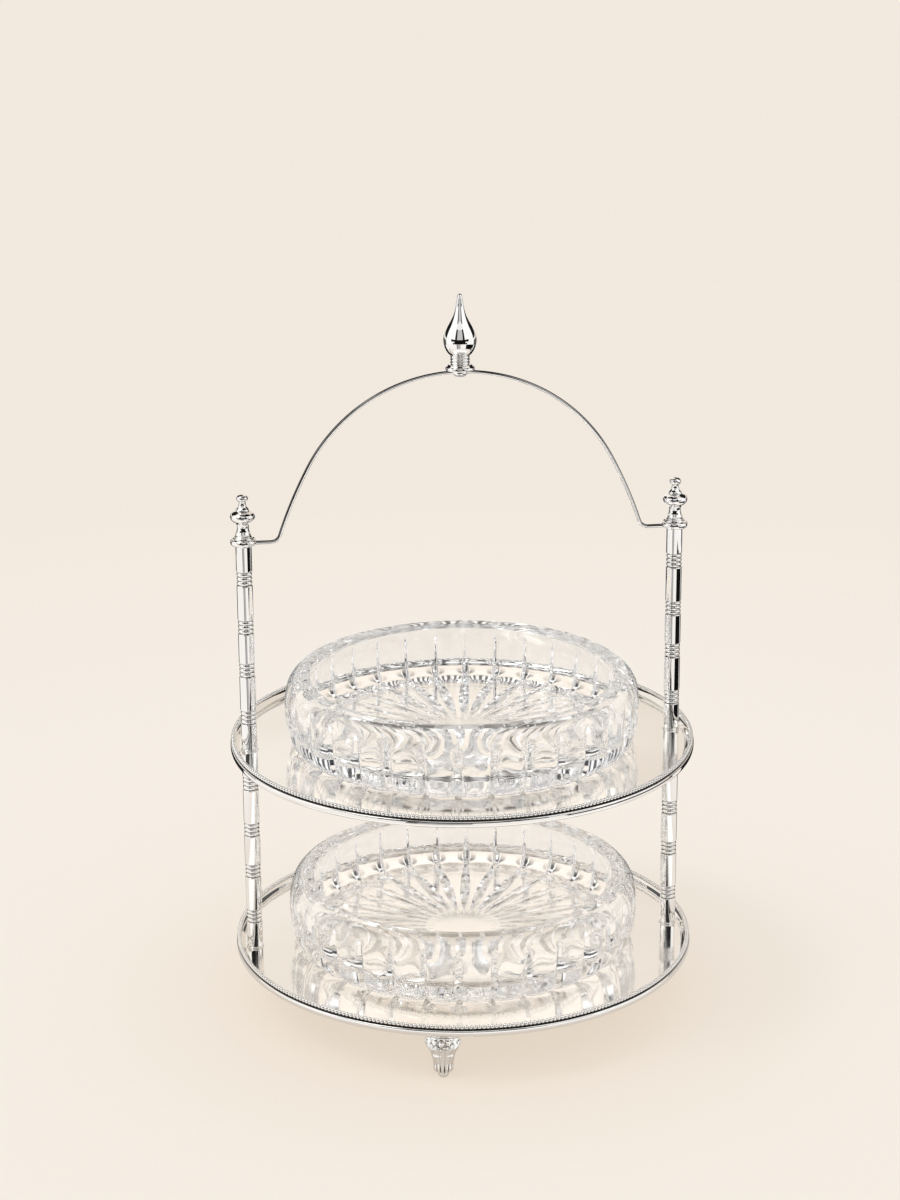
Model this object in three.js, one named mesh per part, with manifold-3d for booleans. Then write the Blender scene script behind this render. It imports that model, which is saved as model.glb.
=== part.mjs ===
// Two-tier serving stand: two bright silver-plated trays with beaded borders, held apart by
// turned posts, a wire bail handle across the posts, and a low cut-crystal bowl on each tray.
// Millimetres, +Z up. The origin is on the table under the stand's centre, the posts stand
// on the X axis, and the foot that shows is towards -Y.

import * as THREE from 'three';
import { mergeVertices } from 'three/addons/utils/BufferGeometryUtils.js';
import Module from 'manifold-3d';

const wasm = await Module();
wasm.setup();

// Trays
const TRAY_RADIUS = 125;
const PLATE_THICKNESS = 1.2;
const LOWER_FLOOR_Z = 30.1;
const BORDER_WIDTH = 4.8;
const BORDER_HEIGHT = 4.9;
const BORDER_LAP = 2.4;
const BORDER_DROP = 0.5;
const BORDER_CLEARANCE = 0.15;
const BORDER_EDGE_ROUNDING = 1.6;
const COVE_HEIGHT = 0.7;
const BEAD_DIAMETER = 2;
const ROUND_SIDES = 72;

// Posts
const POST_INSET = 10;
const POST_RADIUS = 4.3;
const POST_LENGTH = 113.2;
const POST_CHAMFER = 0.4;
const BEAD_PITCH = 2.35;
const BEADS_IN_GROUP = 3;
const POST_BEAD_RADIUS = 3.95;
const GROOVE_RADIUS = 3.3;
const LONG_BARREL_SHARE = 1.36;
const MIDDLE_BARREL_SHARE = 1.18;
const POST_SIDES = 12;
const COLLAR_RADIUS = 4.8;
const COLLAR_THICKNESS = 0.9;

// Threaded studs and screws, modelled at their mean diameter
const STUD_RADIUS = 1.6;
const STUD_CLEARANCE = 0.3;
const STUD_ENGAGEMENT = 10;
const BORE_SPARE = 1;
const SCREW_HEAD_RADIUS = 3.8;
const SCREW_HEAD_THICKNESS = 1.8;

// Bail handle
const WIRE_RADIUS = 1;
const ARCH_INSET = 24.2;
const ARCH_CENTRE_DROP = 3;
const FLARE_START = 28;
const FLARE_RADIUS = 240;
const BEND_RADIUS = 5;
const WIRE_RISE = 1.2;
const EYELET_RADIUS = 6.9;
const EYELET_THICKNESS = 3.4;
const EYELET_ROUNDING = 0.6;
const APEX_EYE_RADIUS = 4;
const APEX_EYE_THICKNESS = 2.4;
const WIRE_SIDES = 8;
const ARCH_STATIONS = 26;
const FLARE_STATIONS = 3;
const BEND_STATIONS = 4;
const LEG_STATIONS = 1;

// Finials on the posts
const FINIAL_HEIGHT = 23.2;
const FINIAL_BASE_RADIUS = 5;
const FINIAL_KNOB_RADIUS = 6.6;
const FINIAL_WAIST_RADIUS = 3.1;
const FINIAL_NECK_RADIUS = 2.25;
const FINIAL_BUTTON_RADIUS = 3.4;
const FINIAL_THREAD_DEPTH = 8;
const FINIAL_SIDES = 16;

// Teardrop on the handle
const CROWN_HEIGHT = 40.1;
const CROWN_FLANGE_RADIUS = 7.8;
const CROWN_NECK_RADIUS = 5.2;
const CROWN_BODY_RADIUS = 8.8;
const CROWN_TIP_RADIUS = 1.5;
const CROWN_THREAD_DEPTH = 6;
const CROWN_SIDES = 20;
const CROWN_SCREW_RADIUS = 1.2;
const CROWN_SCREW_HEAD_RADIUS = 3.2;
const CROWN_SCREW_HEAD_THICKNESS = 1.2;

// Feet
const FOOT_INSET = 13;
const FRONT_FOOT_AZIMUTH = -102.8;
const FOOT_BALL_RADIUS = 2.9;
const FOOT_TOE_HALF_WIDTH = 5.2;
const FOOT_LEAF_HALF_WIDTH = 9.2;
const FOOT_DEPTH_SHARE = 0.82;
const FOOT_FLUTES = 8;
const FLUTE_DEPTH_SHARE = 0.15;
const SCROLL_RADIUS = 2.1;

// Crystal bowls
const BOWL_HEIGHT = 38.2;
const BOWL_RADIUS = 95.5;
const BOWL_RIM_RADIUS = 88.6;
const BOWL_RIM_WIDTH = 7;
const BOWL_FOOT_RADIUS = 87.5;
const BOWL_FLOOR_THICKNESS = 8.5;
const BOWL_UNDERCUT = 0.5;
const BOWL_FLOOR_RADIUS = 78.5;
const BOWL_WALL = 8.6;
const BOWL_CUTS = 32;
const CUT_DEPTH = 1.3;
const CUT_HALF_WIDTH = 1.6;
const STAR_HUB_RADIUS = 21.5;
const STAR_DEPTH = 1.4;

const POST_OFFSET = TRAY_RADIUS - POST_INSET;
const ARCH_RADIUS = POST_OFFSET - ARCH_INSET;
const FOOT_CIRCLE_RADIUS = TRAY_RADIUS - FOOT_INSET;
const POST_TOP_Z = POST_LENGTH + COLLAR_THICKNESS;
const UPPER_FLOOR_Z = LOWER_FLOOR_Z + POST_TOP_Z + PLATE_THICKNESS;
const HANDLE_SEAT_Z = UPPER_FLOOR_Z + POST_TOP_Z;
const BORE_RADIUS = STUD_RADIUS + STUD_CLEARANCE;
const DEGREE = Math.PI / 180;

const silver = { color: 0xdedbd5, metalness: 1, roughness: 0.12 };
const brightSilver = { color: 0xe6e3dd, metalness: 1, roughness: 0.05 };
const steel = { color: 0xa9abad, metalness: 1, roughness: 0.35 };
const crystal = { color: 0xf3f7f8, metalness: 0, roughness: 0.04, transparent: true, opacity: 0.45 };

const stand = new THREE.Group();

function place(parent, name, geometry, finish, position = [0, 0, 0]) {
  const mesh = new THREE.Mesh(geometry, new THREE.MeshStandardMaterial(finish));
  mesh.name = name;
  mesh.position.set(...position);
  parent.add(mesh);
  return mesh;
}

function tier(z) {
  const group = new THREE.Group();
  group.position.z = z;
  stand.add(group);
  return group;
}

// A turned piece about Z, from a profile of [radius, height] points.
function turn(profile, sides) {
  const points = profile.map(([r, z]) => new THREE.Vector2(r, z));
  return new THREE.LatheGeometry(points, sides).rotateX(Math.PI / 2);
}

// A round outline with the same corners as a turned piece has.
function roundOutline(Outline, radius, sides, x = 0) {
  const outline = new Outline();
  for (let i = 0; i < sides; i += 1) {
    const angle = (i / sides) * 2 * Math.PI;
    const px = x + radius * Math.sin(angle);
    const py = -radius * Math.cos(angle);
    if (i === 0) outline.moveTo(px, py);
    else outline.lineTo(px, py);
  }
  outline.closePath();
  return outline;
}

function solid(geometry) {
  const bare = geometry.clone();
  bare.deleteAttribute('normal');
  bare.deleteAttribute('uv');
  const merged = mergeVertices(bare, 1e-4);
  const triangles = [];
  const index = merged.getIndex().array;
  for (let i = 0; i < index.length; i += 3) {
    const [a, b, c] = [index[i], index[i + 1], index[i + 2]];
    if (a !== b && b !== c && c !== a) triangles.push(a, b, c);
  }
  return new wasm.Manifold(new wasm.Mesh({
    numProp: 3,
    vertProperties: new Float32Array(merged.getAttribute('position').array),
    triVerts: new Uint32Array(triangles),
  }));
}

function geometryOf(manifold) {
  const mesh = manifold.getMesh();
  const geometry = new THREE.BufferGeometry();
  geometry.setAttribute('position', new THREE.BufferAttribute(new Float32Array(mesh.vertProperties), 3));
  geometry.setIndex(new THREE.BufferAttribute(new Uint32Array(mesh.triVerts), 1));
  geometry.computeVertexNormals();
  return geometry;
}

// Tray: a flat mirror-polished plate, pierced for the two post screws.
function trayPlate() {
  const outline = roundOutline(THREE.Shape, TRAY_RADIUS - BORDER_WIDTH + BORDER_LAP, ROUND_SIDES);
  for (const side of [-1, 1]) {
    outline.holes.push(roundOutline(THREE.Path, BORE_RADIUS, POST_SIDES, side * POST_OFFSET));
  }
  const geometry = new THREE.ExtrudeGeometry(outline, { depth: PLATE_THICKNESS, bevelEnabled: false });
  return geometry.translate(0, 0, -PLATE_THICKNESS);
}

// Border: a cove, a sloping band, the bead row's crest and a rounded outer wall. It laps the
// plate's edge from above and hides it from the side.
function trayBorder() {
  const inner = TRAY_RADIUS - BORDER_WIDTH;
  const edge = inner + BORDER_LAP + BORDER_CLEARANCE;
  const bead = BEAD_DIAMETER / 2;
  const crest = TRAY_RADIUS - bead * 1.4;
  const bottom = -PLATE_THICKNESS - BORDER_DROP;
  const rounding = BORDER_EDGE_ROUNDING;
  return turn([
    [edge, bottom],
    [TRAY_RADIUS - rounding, bottom],
    [TRAY_RADIUS - rounding / 3, bottom + rounding / 2],
    [TRAY_RADIUS, bottom + rounding],
    [TRAY_RADIUS, BORDER_HEIGHT - bead],
    [crest + bead * 0.7, BORDER_HEIGHT - bead * 0.3],
    [crest, BORDER_HEIGHT],
    [crest - bead, BORDER_HEIGHT - bead],
    [inner + BORDER_CLEARANCE, COVE_HEIGHT],
    [inner, 0],
    [edge, 0],
    [edge, bottom],
  ], ROUND_SIDES);
}

// Post: five barrels with four groups of three beads between them, bored at both ends.
function postGeometry() {
  const margin = BEAD_PITCH * 0.05;
  const group = BEAD_PITCH * BEADS_IN_GROUP + 2 * margin;
  const gaps = 4;
  const shares = 2 + 2 * LONG_BARREL_SHARE + MIDDLE_BARREL_SHARE;
  const end = (POST_LENGTH - gaps * group) / shares;
  const barrels = [end, end * LONG_BARREL_SHARE, end * MIDDLE_BARREL_SHARE, end * LONG_BARREL_SHARE, end];
  const bore = STUD_ENGAGEMENT + BORE_SPARE;
  const profile = [[0, bore], [BORE_RADIUS, bore], [BORE_RADIUS, 0]];
  let z = 0;
  barrels.forEach((length, i) => {
    if (i > 0) {
      const start = z + margin;
      for (let k = 0; k < BEADS_IN_GROUP; k += 1) {
        profile.push([POST_BEAD_RADIUS, start + (k + 0.5) * BEAD_PITCH]);
        if (k < BEADS_IN_GROUP - 1) profile.push([GROOVE_RADIUS, start + (k + 1) * BEAD_PITCH]);
      }
      z += group;
      profile.push([GROOVE_RADIUS, z]);
    }
    profile.push([POST_RADIUS, z + (i > 0 ? POST_CHAMFER : 0)]);
    z += length;
    profile.push([POST_RADIUS, z - (i < gaps ? POST_CHAMFER : 0)]);
    if (i < gaps) profile.push([GROOVE_RADIUS, z]);
  });
  profile.push([BORE_RADIUS, POST_LENGTH], [BORE_RADIUS, POST_LENGTH - bore], [0, POST_LENGTH - bore]);
  return turn(profile, POST_SIDES);
}

function collarGeometry() {
  const chamfer = COLLAR_THICKNESS / 3;
  return turn([
    [BORE_RADIUS, 0],
    [COLLAR_RADIUS, 0],
    [COLLAR_RADIUS, COLLAR_THICKNESS - chamfer],
    [COLLAR_RADIUS - chamfer, COLLAR_THICKNESS],
    [BORE_RADIUS, COLLAR_THICKNESS],
    [BORE_RADIUS, 0],
  ], POST_SIDES);
}

function rod(radius, length, sides) {
  return turn([[0, 0], [radius, 0], [radius, length], [0, length]], sides);
}

// A domed screw head with its shank standing up from it.
function screwGeometry(headRadius, headThickness, shankRadius, shankLength) {
  return turn([
    [0, -headThickness],
    [headRadius * 0.6, -headThickness],
    [headRadius, -headThickness * 0.4],
    [headRadius, 0],
    [shankRadius, 0],
    [shankRadius, shankLength],
    [0, shankLength],
  ], POST_SIDES);
}

// Wire of the bail: level from each eyelet, a tight bend, a leg that leans inwards on a wide
// curve, then the round arch, whose centre lies a little below the level runs.
class BailCurve extends THREE.Curve {
  constructor(span) {
    super();
    this.span = span;
    this.flareStart = FLARE_START * DEGREE;
    const reach = FLARE_RADIUS - ARCH_RADIUS;
    this.flareX = -reach * Math.cos(this.flareStart);
    this.flareZ = -ARCH_CENTRE_DROP - reach * Math.sin(this.flareStart);
    const bendReach = FLARE_RADIUS + BEND_RADIUS;
    this.flareEnd = Math.asin((BEND_RADIUS - this.flareZ) / bendReach);
    this.legEnd = this.flareX + bendReach * Math.cos(this.flareEnd);
    this.total = 2 * (LEG_STATIONS + BEND_STATIONS + FLARE_STATIONS) + ARCH_STATIONS;
  }

  half(s) {
    if (s < LEG_STATIONS) {
      return [this.span + (this.legEnd - this.span) * (s / LEG_STATIONS), 0];
    }
    const bent = s - LEG_STATIONS;
    if (bent < BEND_STATIONS) {
      const turned = (bent / BEND_STATIONS) * (Math.PI / 2 - this.flareEnd);
      return [this.legEnd - BEND_RADIUS * Math.sin(turned), BEND_RADIUS * (1 - Math.cos(turned))];
    }
    const flared = bent - BEND_STATIONS;
    if (flared < FLARE_STATIONS) {
      const angle = this.flareEnd + (flared / FLARE_STATIONS) * (this.flareStart - this.flareEnd);
      return [this.flareX + FLARE_RADIUS * Math.cos(angle), this.flareZ + FLARE_RADIUS * Math.sin(angle)];
    }
    const sweep = Math.PI - 2 * this.flareStart;
    const angle = this.flareStart + ((flared - FLARE_STATIONS) / ARCH_STATIONS) * sweep;
    return [ARCH_RADIUS * Math.cos(angle), ARCH_RADIUS * Math.sin(angle) - ARCH_CENTRE_DROP];
  }

  getPoint(t) {
    const s = t * this.total;
    const mirrored = s > this.total / 2;
    const [x, z] = this.half(mirrored ? this.total - s : s);
    return new THREE.Vector3(mirrored ? x : -x, 0, z);
  }

  getUtoTmapping(u) {
    return u;
  }
}

// A round-edged eye, from the given depth under the wire's centre line.
function eyeGeometry(radius, thickness, under) {
  const top = thickness - under;
  return turn([
    [0, -under],
    [radius - EYELET_ROUNDING, -under],
    [radius, EYELET_ROUNDING - under],
    [radius, top - EYELET_ROUNDING],
    [radius - EYELET_ROUNDING, top],
    [0, top],
  ], FINIAL_SIDES);
}

function handleGeometry() {
  const section = new THREE.Shape();
  for (let i = 0; i < WIRE_SIDES; i += 1) {
    const angle = ((i + 0.5) / WIRE_SIDES) * 2 * Math.PI;
    const point = [WIRE_RADIUS * Math.cos(angle), WIRE_RADIUS * Math.sin(angle)];
    if (i === 0) section.moveTo(...point);
    else section.lineTo(...point);
  }
  section.closePath();
  const path = new BailCurve(POST_OFFSET - EYELET_RADIUS / 2);
  let bail = solid(new THREE.ExtrudeGeometry(section, { steps: path.total, extrudePath: path, bevelEnabled: false }));
  const apex = ARCH_RADIUS - ARCH_CENTRE_DROP;
  const reach = 2 * EYELET_THICKNESS;
  const eyes = [
    [-POST_OFFSET, 0, eyeGeometry(EYELET_RADIUS, EYELET_THICKNESS, WIRE_RISE), BORE_RADIUS],
    [POST_OFFSET, 0, eyeGeometry(EYELET_RADIUS, EYELET_THICKNESS, WIRE_RISE), BORE_RADIUS],
    [0, apex, eyeGeometry(APEX_EYE_RADIUS, APEX_EYE_THICKNESS, APEX_EYE_THICKNESS / 2),
      CROWN_SCREW_RADIUS + STUD_CLEARANCE],
  ];
  for (const [x, z, eye] of eyes) {
    bail = bail.add(solid(eye.translate(x, 0, z)));
  }
  for (const [x, z, , bore] of eyes) {
    bail = bail.subtract(solid(rod(bore, 2 * reach, POST_SIDES).translate(x, 0, z - reach)));
  }
  return geometryOf(bail);
}

// Finial: bell, waist, ring knob, tapered neck and flat button.
function finialGeometry() {
  const h = FINIAL_HEIGHT;
  const base = FINIAL_BASE_RADIUS;
  const knob = FINIAL_KNOB_RADIUS;
  const waist = FINIAL_WAIST_RADIUS;
  const neck = FINIAL_NECK_RADIUS;
  const button = FINIAL_BUTTON_RADIUS;
  return turn([
    [0, FINIAL_THREAD_DEPTH + BORE_SPARE / 2],
    [BORE_RADIUS, FINIAL_THREAD_DEPTH + BORE_SPARE / 2],
    [BORE_RADIUS, 0],
    [base, 0],
    [base, h * 0.045],
    [base * 0.9, h * 0.09],
    [base * 0.7, h * 0.18],
    [waist, h * 0.27],
    [waist * 1.18, h * 0.395],
    [knob * 0.8, h * 0.47],
    [knob, h * 0.54],
    [knob * 0.8, h * 0.62],
    [neck * 1.4, h * 0.67],
    [neck, h * 0.865],
    [button, h * 0.95],
    [button * 0.72, h],
    [0, h],
  ], FINIAL_SIDES);
}

// Teardrop: flange and step, ringed neck, then a body that swells and draws out to the tip.
function crownGeometry() {
  const h = CROWN_HEIGHT;
  const flange = CROWN_FLANGE_RADIUS;
  const neck = CROWN_NECK_RADIUS;
  const body = CROWN_BODY_RADIUS;
  const tip = CROWN_TIP_RADIUS;
  const bore = CROWN_SCREW_RADIUS + STUD_CLEARANCE;
  return turn([
    [0, CROWN_THREAD_DEPTH + BORE_SPARE / 2],
    [bore, CROWN_THREAD_DEPTH + BORE_SPARE / 2],
    [bore, 0],
    [flange, 0],
    [flange, h * 0.05],
    [flange * 0.85, h * 0.075],
    [neck, h * 0.1],
    [neck * 0.9, h * 0.125],
    [neck, h * 0.15],
    [neck * 0.9, h * 0.175],
    [neck, h * 0.195],
    [body * 0.75, h * 0.235],
    [body * 0.93, h * 0.31],
    [body, h * 0.41],
    [body * 0.84, h * 0.54],
    [body * 0.6, h * 0.63],
    [body * 0.44, h * 0.715],
    [body * 0.33, h * 0.8],
    [tip * 1.3, h * 0.9],
    [tip * 1.05, h * 0.985],
    [0, h],
  ], CROWN_SIDES);
}

// Foot: a small ball under a ring of toes, a fluted ankle, and a leaf that flares to the plate
// between two scrolls. Radii are half widths, shared between width and depth.
function footGeometry(height) {
  const toe = FOOT_TOE_HALF_WIDTH;
  const leaf = FOOT_LEAF_HALF_WIDTH;
  const ball = FOOT_BALL_RADIUS;
  const rows = [
    [0, 0, 0, 0],
    [ball * 0.55, 0, 0, 0],
    [ball * 0.93, ball * 0.35, 0, 0],
    [ball * 0.98, ball * 0.8, 0, 0],
    [toe * 0.9, height * 0.1, 0.6, 0],
    [toe, height * 0.15, 1, 0],
    [toe * 0.98, height * 0.24, 1, 0],
    [toe, height * 0.34, 0.7, 0.1],
    [toe * 1.15, height * 0.46, 0.4, 0.3],
    [leaf * 0.8, height * 0.585, 0.2, 0.7],
    [leaf, height * 0.67, 0.2, 1],
    [leaf * 0.98, height * 0.88, 0.2, 1],
    [leaf * 0.9, height, 0, 1],
    [0, height, 0, 1],
  ];
  const sides = 2 * FOOT_FLUTES;
  const geometry = turn(rows, sides);
  const position = geometry.getAttribute('position');
  for (let i = 0; i < position.count; i += 1) {
    const row = rows[i % rows.length];
    const column = Math.floor(i / rows.length) % sides;
    const flute = column % 2 === 0 ? 1 : 1 - FLUTE_DEPTH_SHARE * row[2];
    const depth = 1 - (1 - FOOT_DEPTH_SHARE) * row[3];
    position.setX(i, position.getX(i) * flute);
    position.setY(i, position.getY(i) * flute * depth);
  }
  let foot = solid(geometry);
  for (const side of [-1, 1]) {
    const scroll = rod(SCROLL_RADIUS, leaf * FOOT_DEPTH_SHARE, 10).rotateX(Math.PI / 2);
    scroll.translate(side * (leaf - SCROLL_RADIUS * 0.9), leaf * FOOT_DEPTH_SHARE * 0.35, height * 0.7);
    foot = foot.add(solid(scroll));
  }
  return geometryOf(foot);
}

// Bowl: low and bulging, with a thick rim drawn in at the top. Upright cuts run down the outer
// wall and under the foot, where they become the rays of a star round a plain hub.
function bowlGeometry() {
  const height = BOWL_HEIGHT;
  const rimInner = BOWL_RIM_RADIUS - BOWL_RIM_WIDTH;
  const rows = [
    [0, BOWL_UNDERCUT, 0, 0],
    [STAR_HUB_RADIUS, BOWL_UNDERCUT, 0, 0],
    [STAR_HUB_RADIUS * 1.9, BOWL_UNDERCUT, 0, STAR_DEPTH],
    [BOWL_FLOOR_RADIUS - 4 * BOWL_UNDERCUT, BOWL_UNDERCUT, 0, STAR_DEPTH * 0.5],
    [BOWL_FLOOR_RADIUS, 0, 0, 0],
    [BOWL_FOOT_RADIUS, 0, CUT_DEPTH * 0.6, 0],
    [BOWL_RADIUS * 0.977, height * 0.14, CUT_DEPTH, 0],
    [BOWL_RADIUS, height * 0.44, CUT_DEPTH, 0],
    [BOWL_RADIUS * 0.997, height * 0.72, CUT_DEPTH, 0],
    [BOWL_RADIUS * 0.969, height * 0.9, 0, 0],
    [BOWL_RIM_RADIUS, height, 0, 0],
    [rimInner, height, 0, 0],
    [BOWL_RADIUS - BOWL_WALL, height * 0.72, 0, 0],
    [BOWL_RADIUS - BOWL_WALL, height * 0.44, 0, 0],
    [BOWL_FLOOR_RADIUS, BOWL_FLOOR_THICKNESS, 0, 0],
    [0, BOWL_FLOOR_THICKNESS, 0, 0],
  ];
  const columns = 3 * BOWL_CUTS;
  const geometry = turn(rows, columns);
  const position = geometry.getAttribute('position');
  const pitch = (2 * Math.PI) / BOWL_CUTS;
  for (let i = 0; i < position.count; i += 1) {
    const [radius, z, cut, ray] = rows[i % rows.length];
    const column = Math.floor(i / rows.length) % columns;
    const offset = (column % 3) - 1;
    const halfAngle = Math.min(CUT_HALF_WIDTH / Math.max(radius, CUT_HALF_WIDTH), pitch * 0.3);
    const angle = Math.floor(column / 3) * pitch + offset * halfAngle;
    const depth = offset === 0 ? 1 : 0;
    const r = radius - cut * depth;
    position.setXYZ(i, r * Math.sin(angle), -r * Math.cos(angle), z + ray * depth);
  }
  return geometry;
}

// Lower part of the stand: feet, lower tray and the screws up into the posts
const footHeight = LOWER_FLOOR_Z - PLATE_THICKNESS;
['foot_front', 'foot_right', 'foot_rear_left'].forEach((name, i) => {
  const azimuth = (FRONT_FOOT_AZIMUTH + 120 * i) * DEGREE;
  const x = FOOT_CIRCLE_RADIUS * Math.cos(azimuth);
  const y = FOOT_CIRCLE_RADIUS * Math.sin(azimuth);
  const foot = place(stand, name, footGeometry(footHeight), silver, [x, y, 0]);
  foot.rotation.z = azimuth + Math.PI / 2;
});

[['lower', LOWER_FLOOR_Z], ['upper', UPPER_FLOOR_Z]].forEach(([level, z]) => {
  const group = tier(z);
  place(group, `${level}_tray`, trayPlate(), brightSilver);
  place(group, `${level}_tray_border`, trayBorder(), silver);
  place(group, `${level}_bowl`, bowlGeometry(), crystal);
  for (const [hand, side] of [['left', -1], ['right', 1]]) {
    const x = side * POST_OFFSET;
    place(group, `${level}_post_${hand}`, postGeometry(), silver, [x, 0, COLLAR_THICKNESS]);
    place(group, `${level}_collar_${hand}`, collarGeometry(), silver, [x, 0, 0]);
  }
});

const bailZ = HANDLE_SEAT_Z + WIRE_RISE;
for (const [hand, side] of [['left', -1], ['right', 1]]) {
  const x = side * POST_OFFSET;
  const throughPlate = COLLAR_THICKNESS + PLATE_THICKNESS + STUD_ENGAGEMENT;
  place(stand, `base_screw_${hand}`,
    screwGeometry(SCREW_HEAD_RADIUS, SCREW_HEAD_THICKNESS, STUD_RADIUS, throughPlate), steel,
    [x, 0, LOWER_FLOOR_Z - PLATE_THICKNESS]);
  const studStart = UPPER_FLOOR_Z - PLATE_THICKNESS - STUD_ENGAGEMENT - BORE_SPARE;
  place(stand, `tier_stud_${hand}`, rod(STUD_RADIUS, BORE_SPARE + STUD_ENGAGEMENT + throughPlate, POST_SIDES),
    steel, [x, 0, studStart]);
  const handleStud = BORE_SPARE + STUD_ENGAGEMENT + EYELET_THICKNESS + FINIAL_THREAD_DEPTH;
  place(stand, `handle_stud_${hand}`, rod(STUD_RADIUS, handleStud, POST_SIDES), steel,
    [x, 0, HANDLE_SEAT_Z - STUD_ENGAGEMENT - BORE_SPARE]);
  place(stand, `finial_${hand}`, finialGeometry(), silver, [x, 0, HANDLE_SEAT_Z + EYELET_THICKNESS]);
}

place(stand, 'handle', handleGeometry(), silver, [0, 0, bailZ]);
const apexZ = bailZ + ARCH_RADIUS - ARCH_CENTRE_DROP;
place(stand, 'crown_finial', crownGeometry(), silver, [0, 0, apexZ + APEX_EYE_THICKNESS / 2]);
place(stand, 'crown_screw',
  screwGeometry(CROWN_SCREW_HEAD_RADIUS, CROWN_SCREW_HEAD_THICKNESS, CROWN_SCREW_RADIUS,
    APEX_EYE_THICKNESS + CROWN_THREAD_DEPTH), steel, [0, 0, apexZ - APEX_EYE_THICKNESS / 2]);

export default stand;
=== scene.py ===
import bpy
import math
import numpy as np
from mathutils import Matrix, Vector


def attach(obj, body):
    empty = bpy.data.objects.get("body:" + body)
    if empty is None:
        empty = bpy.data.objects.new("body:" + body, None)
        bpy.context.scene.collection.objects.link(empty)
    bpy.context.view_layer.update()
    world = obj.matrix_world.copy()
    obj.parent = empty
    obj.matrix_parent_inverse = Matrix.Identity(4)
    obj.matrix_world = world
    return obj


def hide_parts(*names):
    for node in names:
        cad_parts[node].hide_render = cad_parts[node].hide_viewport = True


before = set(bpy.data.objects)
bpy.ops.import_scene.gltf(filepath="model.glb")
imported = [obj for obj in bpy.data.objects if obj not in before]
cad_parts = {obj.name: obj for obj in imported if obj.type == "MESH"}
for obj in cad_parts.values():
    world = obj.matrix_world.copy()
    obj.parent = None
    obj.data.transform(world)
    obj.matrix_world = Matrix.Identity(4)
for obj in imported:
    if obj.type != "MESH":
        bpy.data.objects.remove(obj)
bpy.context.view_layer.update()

MM = 0.001  # the object's lengths are in millimetres, the stage's in metres
LOWER_FLOOR = 30.1
PLATE = 1.2
POST_LENGTH = 113.2
COLLAR = 0.9
UPPER_FLOOR = LOWER_FLOOR + COLLAR + POST_LENGTH + PLATE
SEAT = UPPER_FLOOR + COLLAR + POST_LENGTH
POST_X = 115.0
EYELET = 3.4
APEX_EYE = 2.4
WIRE_RISE = 1.2
WIRE_Z = SEAT + WIRE_RISE
WIRE_RADIUS = 1.0
ARCH_RADIUS = 90.8
ARCH_DROP = 3.0
FLARE_START = 28.0
FLARE_RADIUS = 240.0
BEND = 5.0
APEX_Z = WIRE_Z + ARCH_RADIUS - ARCH_DROP
FOOT_CIRCLE = 112.0
FRONT_FOOT = -102.8  # bearing, in degrees
FLOORS = {"lower": LOWER_FLOOR, "upper": UPPER_FLOOR}
SIDES = {"left": -1, "right": 1}


# ---- materials

def material(name):
    """A material with a Principled shader, its nodes, its links and that shader."""
    mat = bpy.data.materials.new(name)
    mat.use_nodes = True
    nodes = mat.node_tree.nodes
    nodes.clear()
    out = nodes.new("ShaderNodeOutputMaterial")
    shader = nodes.new("ShaderNodeBsdfPrincipled")
    mat.node_tree.links.new(shader.outputs[0], out.inputs[0])
    return mat, nodes, mat.node_tree.links, shader


def object_place(nodes):
    """The place on the object itself, in metres."""
    return nodes.new("ShaderNodeTexCoord").outputs["Object"]


def noise(nodes, links, place, scale, detail):
    """A cloudy grey."""
    node = nodes.new("ShaderNodeTexNoise")
    node.inputs["Scale"].default_value = scale
    node.inputs["Detail"].default_value = detail
    links.new(place, node.inputs["Vector"])
    return node.outputs["Fac"]


def ramp(nodes, links, source, stops):
    """A colour or a grey for each place between stops."""
    node = nodes.new("ShaderNodeValToRGB")
    elements = node.color_ramp.elements
    while len(elements) < len(stops):
        elements.new(0.5)
    for element, (place, value) in zip(elements, stops):
        element.position = place
        element.color = (*value, 1) if isinstance(value, tuple) else (value, value, value, 1)
    links.new(source, node.inputs[0])
    return node.outputs[0]


def blend(nodes, links, factor, first, second):
    """A mix of two colours or sockets."""
    node = nodes.new("ShaderNodeMix")
    node.data_type = "RGBA"
    links.new(factor, node.inputs["Factor"])
    for value, socket in ((first, "A"), (second, "B")):
        if isinstance(value, tuple):
            node.inputs[socket].default_value = (*value, 1)
        else:
            links.new(value, node.inputs[socket])
    return node.outputs["Result"]


def maths(nodes, links, operation, *values):
    """A sum of numbers or sockets."""
    node = nodes.new("ShaderNodeMath")
    node.operation = operation
    for socket, value in zip(node.inputs, values):
        if isinstance(value, float):
            socket.default_value = value
        else:
            links.new(value, socket)
    return node.outputs[0]


def bump(nodes, links, height, strength, distance, under=None):
    """The normal of a slightly uneven face, laid over the one under it."""
    node = nodes.new("ShaderNodeBump")
    node.inputs["Strength"].default_value = strength
    node.inputs["Distance"].default_value = distance
    links.new(height, node.inputs["Height"])
    if under is not None:
        links.new(under, node.inputs["Normal"])
    return node.outputs[0]


def painted_dark_and_grinding_shares(nodes):
    """The share that each piece's mesh stores: on silver for painted shade and a painted reflection, on glass for fine
    grinding.
    """
    node = nodes.new("ShaderNodeAttribute")
    node.attribute_name = "painted_dark_and_grinding"
    return node.outputs["Fac"]


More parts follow.
